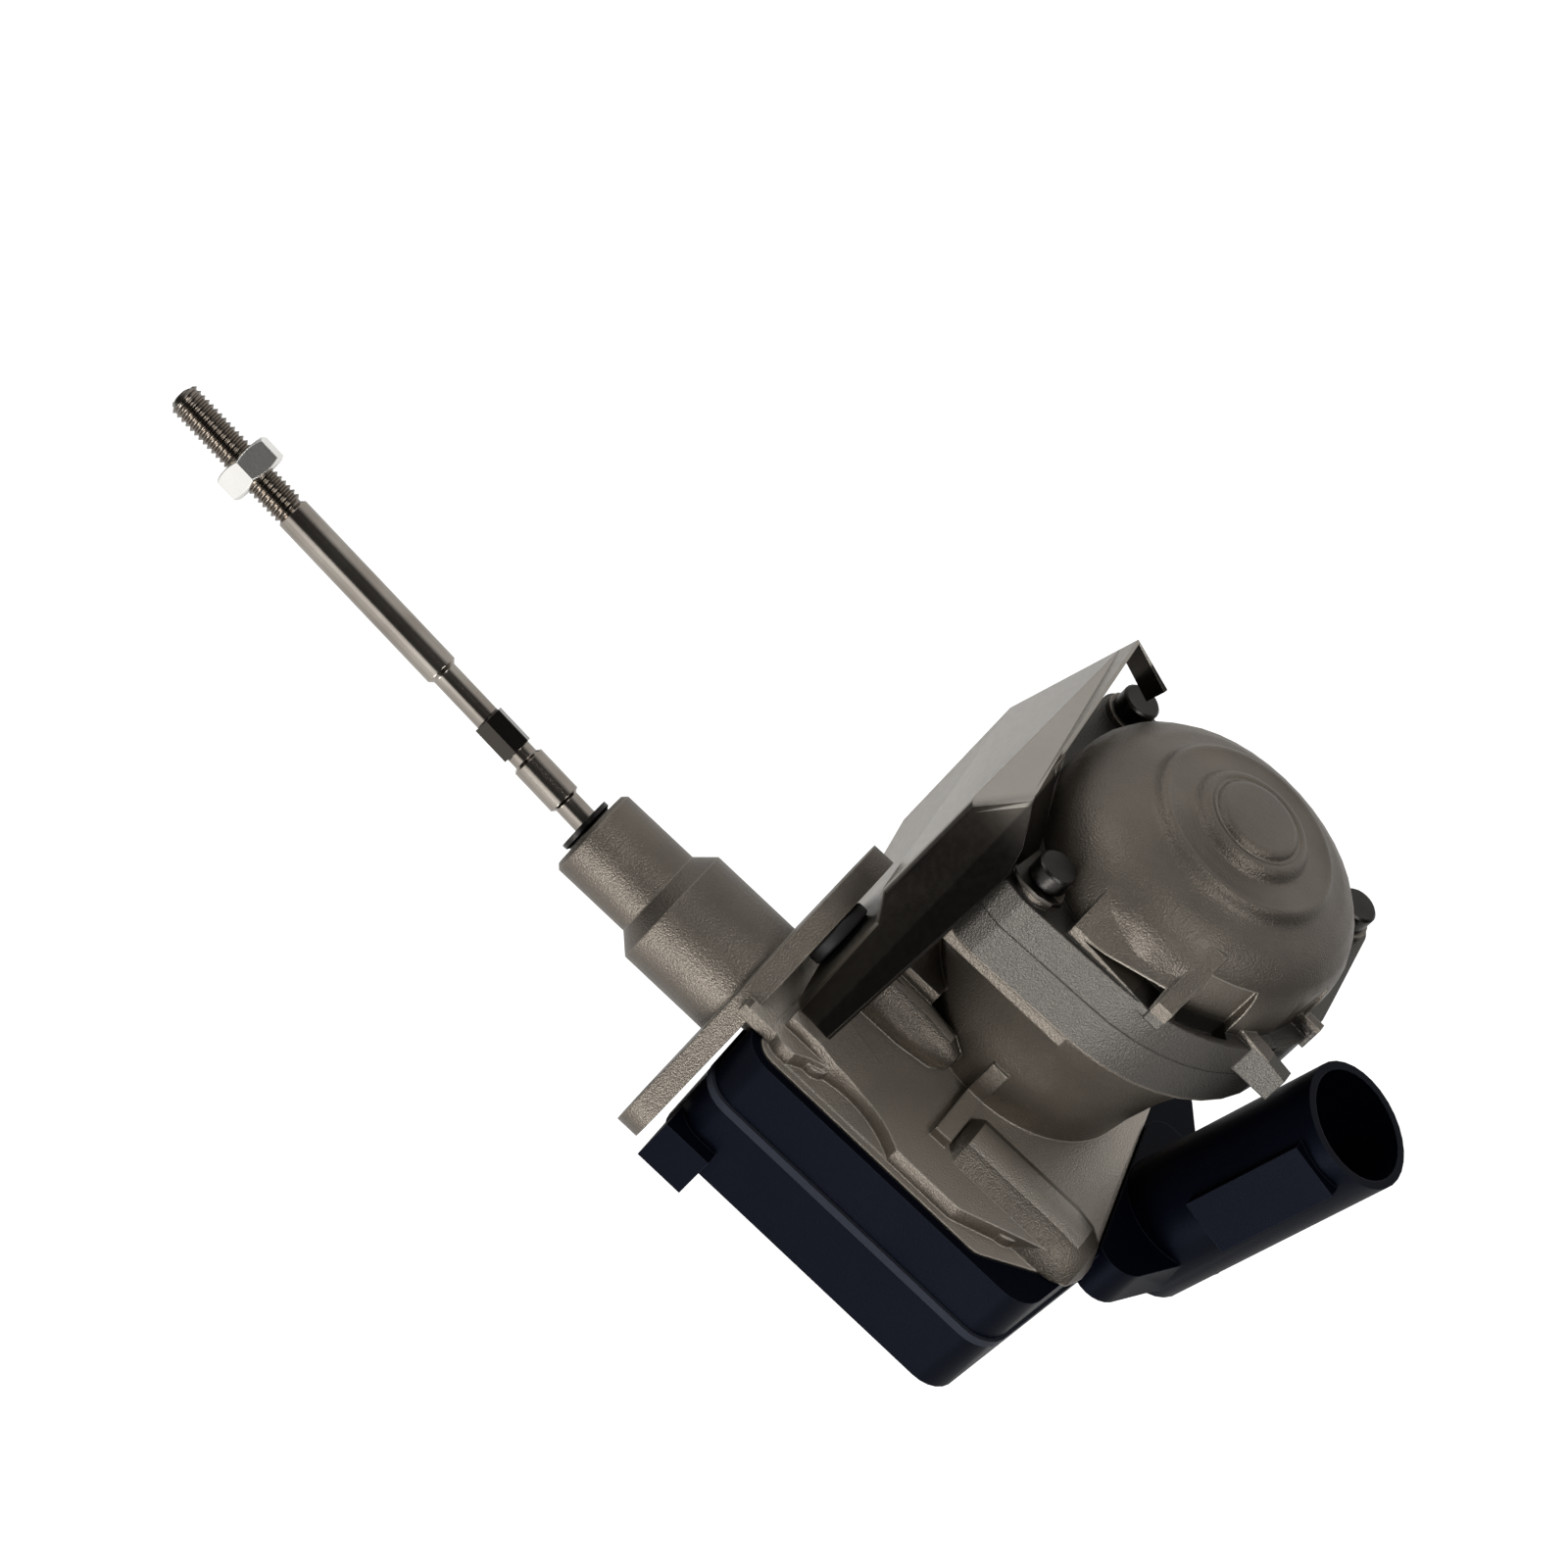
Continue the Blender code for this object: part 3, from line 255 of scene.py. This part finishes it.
dome_shift = -1.5 * MM
can_low, can_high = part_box("motor_can")
dome_axis = ((can_low[0] + can_high[0]) / 2 + dome_shift, (can_low[1] + can_high[1]) / 2, 0)
boss = [(0, 71.6), (6.4, 71.55), (7.1, 71.35), (7.6, 70.9), (7.9, 70.35)]  # each a radius and a height in mm
inner_ring = [(8.3, 70.3), (8.8, 70.6), (9.3, 70.6), (9.9, 70.3), (10.5, 69.6), (10.9, 68.9), (11.3, 68.6)]
outer_step = [(12.0, 68.5), (15.2, 68.35), (15.6, 68.5), (16.1, 68.5), (16.6, 68.2), (17.0, 67.6)]
skirt = [(17.4, 66.9), (17.9, 66.4), (18.6, 66.0), (19.6, 65.6), (20.4, 65.2), (21.2, 64.6), (21.2, 64.0)]
underside = [(0, 64.0)]
rings = [(r * MM, z * MM) for r, z in boss + inner_ring + outer_step + skirt + underside]
shape = bmesh.new()
turned(shape, rings, dome_axis, steps=96)
placed("cap_crown", shape, cast, "case")

# Shield: rolled stainless sheet, pale on its plate. The flap, which faces the front, is painted dark as
# painted shade and dark reflection, and so are the tab and the forked leg that are bent in towards the
# motor.
stainless = surface(
    "stainless", (0.44, 0.41, 0.365), (0.39, 0.362, 0.32), 0.33, 1.0, patch=40, grain=900, relief=0.05,
    edge=0.3,
)
bent_in = (-12.5 * MM, -13.0 * MM)
flap_painted_shade = ramp(stainless.node_tree, facing(stainless, "Y"), 0.45, 0.60)
# Painted shade and dark reflection on the flap that faces the front.
blend_colour(stainless, flap_painted_shade, (0.10, 0.088, 0.075))
leg_painted_shade = ramp(stainless.node_tree, position(stainless, "X"), *bent_in)
# Painted shade and dark reflection on the tab and the forked leg bent in towards the motor.
blend_colour(stainless, leg_painted_shade, (0.05, 0.045, 0.04))
dress(stainless, "heat_shield")

# Cover: a satin black moulding, a little blue in its sheen, screwed up against the case's lower half. Its
# edges and the bead round its side get a painted highlight. The motor's end plate is the same plastic.
black = surface("black", (0.0018, 0.0023, 0.0055), (0.0012, 0.0016, 0.0040), 0.45, 0.0, 80, 3000, 0.12)
sheen = black.node_tree.nodes["Principled BSDF"]
sheen.inputs["Specular IOR Level"].default_value = 0.06
sheen.inputs["Specular Tint"].default_value = (0.55, 0.65, 1.0, 1)
# Painted highlight along the cover's edges.
paint_edge_highlights(black, (0.020, 0.023, 0.032))
bead_middle = -8.0 * MM
bead_half = 0.9 * MM
bead_painted_highlight = combine(black.node_tree, "COMPARE", position(black, "Z"), bead_middle, bead_half)
# Painted highlight on the bead round the cover's side.
blend_colour(black, bead_painted_highlight, (0.026, 0.029, 0.038))
dress(black, "gear_cover", "motor_end_plate")

# Plunger, armature and cap screws: hardened steel with a dark oxide. The plunger slides in the snout, and
# the screws hold the cap on the motor pot.
dark_steel = surface("dark_steel", (0.05, 0.047, 0.044), (0.03, 0.028, 0.027), 0.34, 1.0, 150, 2500, 0.08)
dress(dark_steel, "plunger", "armature", *(f"cap_screw_{k}" for k in range(1, 4)))

# Motor can and cover screws: drawn and rolled steel with bright zinc on it. The can stands in the pot, and
# the screws hold the cover up against its gasket.
zinc = surface("zinc", (0.70, 0.68, 0.64), (0.60, 0.58, 0.54), 0.25, 1.0, 200, 2500, 0.05)
dress(zinc, "motor_can", *(f"cover_screw_{k}" for k in range(1, 6)))

# Shafts: ground bare steel. The rotor's shaft carries the motor pinion, and two pins that are fixed in the
# housing carry the other gears.
bright = surface("bright_steel", (0.55, 0.54, 0.52), (0.45, 0.44, 0.42), 0.25, 1.0)
dress(bright, "rotor_shaft", "motor_pinion", "idler_pin", "output_pin")

# Bushes and motor bearings: sintered bronze, pressed into the housing and the motor's end plate.
# Two guide the slide and two hold the rotor's shaft.
bronze = surface("bronze", (0.45, 0.28, 0.12), (0.35, 0.21, 0.09), 0.45, 1.0)
dress(bronze, "snout_bush", "tail_bush", "lower_bearing", "upper_bearing")

# Idler and output gears: moulded in pale nylon, each in one piece with its pinion.
# They turn on their pins under the cover.
nylon = surface("nylon", (0.75, 0.72, 0.62), (0.70, 0.66, 0.55), 0.5, 0.0)
dress(nylon, "idler_gear", "output_gear")

# Magnets: grey ferrite. Two shells are glued in the motor can, and one small ring under the output gear
# turns with it over the sensor board.
ferrite = surface("ferrite_grey", (0.06, 0.06, 0.065), (0.04, 0.04, 0.045), 0.7, 0.0)
dress(ferrite, "magnet_near", "magnet_far", "sensor_magnet")

# Gasket and snout seal: black rubber under the cover's rim, and a browner lip seal that is pressed into the
# snout's mouth round the slide.
rubber = surface("rubber", (0.015, 0.015, 0.015), (0.01, 0.01, 0.01), 0.6, 0.0)
dress(rubber, "cover_gasket")
seal = surface("seal", (0.055, 0.048, 0.041), (0.03, 0.026, 0.022), 0.4, 0.3, 150, 2500, 0.1)
dress(seal, "snout_seal")

# Commutator: bare copper, pressed on the rotor's shaft between the armature and the end plate.
# It turns with them inside the motor can.
copper = surface("copper_bare", (0.6, 0.28, 0.14), (0.5, 0.22, 0.1), 0.4, 1.0)
dress(copper, "commutator")

# Connector pins and sensor board: tinned blades that are set in the floor of the round socket, and a green
# board that lies over the cover's floor, round the output pin.
tin = surface("tin", (0.7, 0.66, 0.55), (0.6, 0.56, 0.46), 0.3, 1.0)
dress(tin, *(f"connector_pin_{k}" for k in range(1, 6)))
board = surface("board", (0.02, 0.14, 0.06), (0.015, 0.11, 0.05), 0.5, 0.0)
dress(board, "sensor_board")

# Rod: polished steel on a ball in the plunger, browned by heat, with a collar, a dark six-sided neck and a
# rolled thread to its tip. Lengths run along it from the ball's centre, and it leans up from the snout.
rod_steel = surface(
    "rod_steel", (0.42, 0.385, 0.34), (0.30, 0.265, 0.23), 0.16, 1.0, patch=120, grain=2500, relief=0.03,
    swing=0.04,
)
neck_middle = 56.4 * MM  # along X, as the next two
neck_half = 3.7 * MM
thread_from = 106.0 * MM
neck = combine(rod_steel.node_tree, "COMPARE", position(rod_steel, "X"), neck_middle, neck_half)
blend_colour(rod_steel, neck, (0.07, 0.062, 0.054))
threaded = combine(rod_steel.node_tree, "GREATER_THAN", position(rod_steel, "X"), thread_from)
blend_colour(rod_steel, threaded, (0.24, 0.21, 0.18))
ball_x = 29.0 * MM
rod_lean = 4.2  # degrees
rod_place = (
    Matrix.Translation((ball_x, 0, 0)) @ Matrix.Rotation(math.radians(-rod_lean), 4, "Y")
    @ Matrix.Rotation(math.pi / 2, 4, "Y")
)
ball_r = 3.4 * MM
thin_r = 2.25 * MM
shank_r = 2.95 * MM
collar = (13.0 * MM, 21.5 * MM)
shank_start = 42.0 * MM
thread_start = 77.5 * MM
ball_arc = [math.radians(a) for a in range(0, 136, 9)]
ball = [(ball_r * math.sin(a), -ball_r * math.cos(a)) for a in ball_arc]
shape = bmesh.new()
turned(shape, ball + [
    (thin_r, 2.9 * MM), (thin_r, collar[0] - 0.5 * MM), (shank_r, collar[0]), (shank_r, collar[1]),
    (thin_r, collar[1] + 0.5 * MM), (thin_r, shank_start - 0.7 * MM), (shank_r, shank_start),
    (shank_r, thread_start - 0.5 * MM), (2.4 * MM, thread_start), (0, thread_start),
])
pitch = 1.0 * MM
turns = 25
turn_steps = 32
crest = [(2.36, 0), (2.80, 0.36), (2.90, 0.44), (2.90, 0.56), (2.80, 0.64), (2.36, 1.0)]  # radius, height
ridge = [(r * MM, 0, thread_start + z * MM) for r, z in crest]
bmesh.ops.spin(
    shape, geom=joined(shape, ridge), cent=(0, 0, 0), axis=(0, 0, 1), dvec=(0, 0, pitch / turn_steps),
    angle=turns * math.tau, steps=turns * turn_steps,
)
tip_end = 103.5 * MM
turned(shape, [
    (2.3 * MM, thread_start - 1 * MM), (2.4 * MM, tip_end - 3 * MM), (2.6 * MM, tip_end - 1.9 * MM),
    (2.45 * MM, tip_end - 1.0 * MM), (1.9 * MM, tip_end - 0.35 * MM), (1.1 * MM, tip_end), (0, tip_end),
])
spanner_flats = 5.2 * MM
spanner_start = 24.0 * MM
spanner_length = 7.0 * MM
corner_r = spanner_flats / math.sqrt(3)
hexagon = bmesh.ops.create_circle(shape, segments=6, radius=corner_r, cap_ends=True)["verts"]
bmesh.ops.rotate(shape, verts=hexagon, cent=(0, 0, 0), matrix=Matrix.Rotation(math.radians(90), 3, "Z"))
bmesh.ops.translate(shape, verts=hexagon, vec=(0, 0, spanner_start))
drawn = bmesh.ops.extrude_face_region(shape, geom=list({f for v in hexagon for f in v.link_faces}))["geom"]
far_end = [v for v in drawn if isinstance(v, bmesh.types.BMVert)]
bmesh.ops.translate(shape, verts=far_end, vec=(0, 0, spanner_length))
bmesh.ops.transform(shape, matrix=rod_place, verts=shape.verts)
bmesh.ops.remove_doubles(shape, verts=shape.verts, dist=0.002 * MM)
bmesh.ops.holes_fill(shape, edges=[e for e in shape.edges if len(e.link_faces) == 1], sides=0)
rod = placed("threaded_rod", shape, rod_steel, "rod")
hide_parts("push_rod")

# Lock nut: a zinc-plated steel hexagon on the rod's thread, with both rims chamfered round and its thread
# countersunk. Each side has a bore ring, a countersink ring, a flat ring and the six-sided rim.
plate = surface("zinc_plate", (0.95, 0.93, 0.89), (0.90, 0.88, 0.83), 0.22, 1.0, 200, 2500, 0.03, swing=0.04)
flats = 10.0 * MM
half = 2.5 * MM
chamfer = 0.25 * MM
nut_middle = 87.0 * MM
shape = bmesh.new()
rims = []
for side in (-1, 1):
    for r, z in ((2.93 * MM, half - 0.5 * MM), (3.4 * MM, half), (flats / 2 - chamfer, half)):
        ring = bmesh.ops.create_circle(shape, segments=72, radius=r)["verts"]
        bmesh.ops.translate(shape, verts=ring, vec=(0, 0, side * z))
        rims.append(ring)
    ring = bmesh.ops.create_circle(shape, segments=72, radius=1.0)["verts"]
    for dot in ring:
        a = math.atan2(dot.co.y, dot.co.x)
        lean = (a % math.radians(60)) - math.radians(30)
        reach = flats / 2 / math.cos(lean)
        drop = (reach - flats / 2 + chamfer) * math.tan(math.radians(30))
        dot.co = Vector((reach * math.cos(a), reach * math.sin(a), side * (half - drop)))
    rims.append(ring)
loops = [list({e for v in ring for e in v.link_edges}) for ring in rims]
for first, second in ((0, 1), (1, 2), (2, 3), (4, 5), (5, 6), (6, 7), (3, 7), (0, 4)):
    bmesh.ops.bridge_loops(shape, edges=loops[first] + loops[second])
bmesh.ops.transform(shape, matrix=rod_place @ Matrix.Translation((0, 0, nut_middle)), verts=shape.verts)
nut = placed("chamfered_nut", shape, plate, "nut")
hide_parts("lock_nut")

# Grommet: a dark rubber washer with rounded rims, held between the housing's upper ear and the shield.
# It stands upright, with its axis along the slide's.
washer_r = 6.0 * MM
washer_depth = 2.3 * MM
washer_middle = (-5.45 * MM, -7.1 * MM, 14.1 * MM)
shape = bmesh.new()
bmesh.ops.create_cone(
    shape, cap_ends=True, segments=48, radius1=washer_r, radius2=washer_r, depth=washer_depth
)
bmesh.ops.bevel(
    shape, geom=[e for e in shape.edges if len(e.link_faces) == 2 and e.calc_face_angle() > 1],
    offset=0.5 * MM, segments=4, profile=0.5, affect="EDGES", material=-1,
)
washer_place = Matrix.Translation(washer_middle) @ Matrix.Rotation(math.pi / 2, 4, "Y")
bmesh.ops.transform(shape, matrix=washer_place, verts=shape.verts)
placed("ear_grommet", shape, rubber, "case")

# Camera: from the side away from the motor, 38 degrees up and rolled, so that the rod points up and left.
# It stands far off with a long lens, so there is little perspective.
back = Vector((0.0, 0.788, 0.616)).normalized()
along = Vector((1, 0, 0))
across = Vector((0, -0.616, 0.788)).normalized()
right = -0.728 * along + 0.685 * across
up = 0.685 * along + 0.728 * across
aim = Vector((17.6 * MM, 0, 0)) + across * 27.1 * MM
spot = aim + back * 0.930
camera_data = bpy.data.cameras.new("camera")
camera_data.lens = 131
camera_data.sensor_width = 36
camera = bpy.data.objects.new("camera", camera_data)
camera.matrix_world = Matrix((
    (right.x, up.x, back.x, spot.x),
    (right.y, up.y, back.y, spot.y),
    (right.z, up.z, back.z, spot.z),
    (0, 0, 0, 1),
))
bpy.context.scene.collection.objects.link(camera)
bpy.context.scene.camera = camera

# Floor: a plain sheet well under the part. The camera sees it white. Metal sees it glow, a little brighter
# in front, and fading to black on the rod's side.
floor_half = 1.3
floor_middle = (0, -0.3, -0.34)
floor_mesh = bpy.data.meshes.new("floor")
shape = bmesh.new()
bmesh.ops.create_grid(shape, x_segments=1, y_segments=1, size=floor_half)
shape.to_mesh(floor_mesh)
shape.free()
floor_look = bpy.data.materials.new("floor")
floor_look.use_nodes = True
tree = floor_look.node_tree
shader = tree.nodes["Principled BSDF"]
shader.inputs["Roughness"].default_value = 0.9
shader.inputs["Emission Color"].default_value = (1, 1, 1, 1)
ray = tree.nodes.new("ShaderNodeLightPath")
on_floor = tree.nodes.new("ShaderNodeTexCoord").outputs["Object"]
fade = ramp(tree, axis(tree, on_floor, "X"), 0.30, 0.70, 0.78, 0.03, "SMOOTHSTEP")
front = ramp(tree, axis(tree, on_floor, "Y"), 0.45, 0.70, 1.0, 1.25, "SMOOTHSTEP")
for_metal = combine(tree, "MULTIPLY", ray.outputs["Is Glossy Ray"], combine(tree, "MULTIPLY", fade, front))
for_camera = combine(tree, "MULTIPLY", ray.outputs["Is Camera Ray"], 0.75)
tree.links.new(combine(tree, "ADD", for_metal, for_camera), shader.inputs["Emission Strength"])
pale = tree.nodes.new("ShaderNodeMix")
pale.data_type = "RGBA"
pale.inputs["A"].default_value = (0.9, 0.9, 0.9, 1)
pale.inputs["B"].default_value = (0, 0, 0, 1)
tree.links.new(ray.outputs["Is Glossy Ray"], pale.inputs["Factor"])
tree.links.new(pale.outputs["Result"], shader.inputs["Base Color"])
floor_mesh.materials.append(floor_look)
floor = bpy.data.objects.new("floor", floor_mesh)
floor.location = floor_middle
bpy.context.scene.collection.objects.link(floor)


# Lamps: a soft key from the rod's side and above, a fill from the connector's side and above, and a small
# one low in front, which draws the long highlight on the snout.
def lamp(name, direction, distance, size, power):
    """A square soft lamp that faces the part from this direction in the row frame."""
    data = bpy.data.lights.new(name, "AREA")
    data.size = size
    data.energy = power
    made = bpy.data.objects.new(name, data)
    way = Vector(direction).normalized()
    made.matrix_world = (
        Matrix.Translation(aim + way * distance) @ way.to_track_quat("Z", "Y").to_matrix().to_4x4()
    )
    bpy.context.scene.collection.objects.link(made)


lamp("key", (0.75, 0.25, 0.60), 1.0, 0.6, 2.0)
lamp("fill", (-0.45, 0.45, 0.77), 1.1, 0.5, 4.0)
lamp("low_front", (-0.24, 0.90, -0.34), 0.70, 0.24, 2.6)


# World: white to the camera. To everything else it is a dark room that is pale behind the part, and has a
# bright window low in front of it.
def toward(tree, value, direction):
    """A socket with the share of a direction socket's vector that goes this way."""
    made = tree.nodes.new("ShaderNodeVectorMath")
    made.operation = "DOT_PRODUCT"
    made.inputs[1].default_value = Vector(direction).normalized()
    tree.links.new(value, made.inputs[0])
    return made.outputs["Value"]


world = bpy.data.worlds.new("world")
world.use_nodes = True
tree = world.node_tree
way = tree.nodes.new("ShaderNodeTexCoord").outputs["Generated"]
room = ramp(tree, toward(tree, way, (0.15, -0.92, 0.36)), 0.15, 0.75, 0.05, 0.72, "SMOOTHSTEP")
window = ramp(tree, toward(tree, way, (0.05, 0.97, -0.21)), 0.89, 0.975, 0.0, 1.3, "SMOOTHSTEP")
strength = tree.nodes.new("ShaderNodeMix")
strength.inputs["B"].default_value = 1.0
tree.links.new(tree.nodes.new("ShaderNodeLightPath").outputs["Is Camera Ray"], strength.inputs["Factor"])
tree.links.new(combine(tree, "ADD", room, window), strength.inputs["A"])
tree.links.new(strength.outputs["Result"], tree.nodes["Background"].inputs["Strength"])
tree.nodes["Background"].inputs["Color"].default_value = (1, 1, 1, 1)
bpy.context.scene.world = world

# Close: plain colours, with no film look on them.
bpy.context.scene.view_settings.view_transform = "Standard"
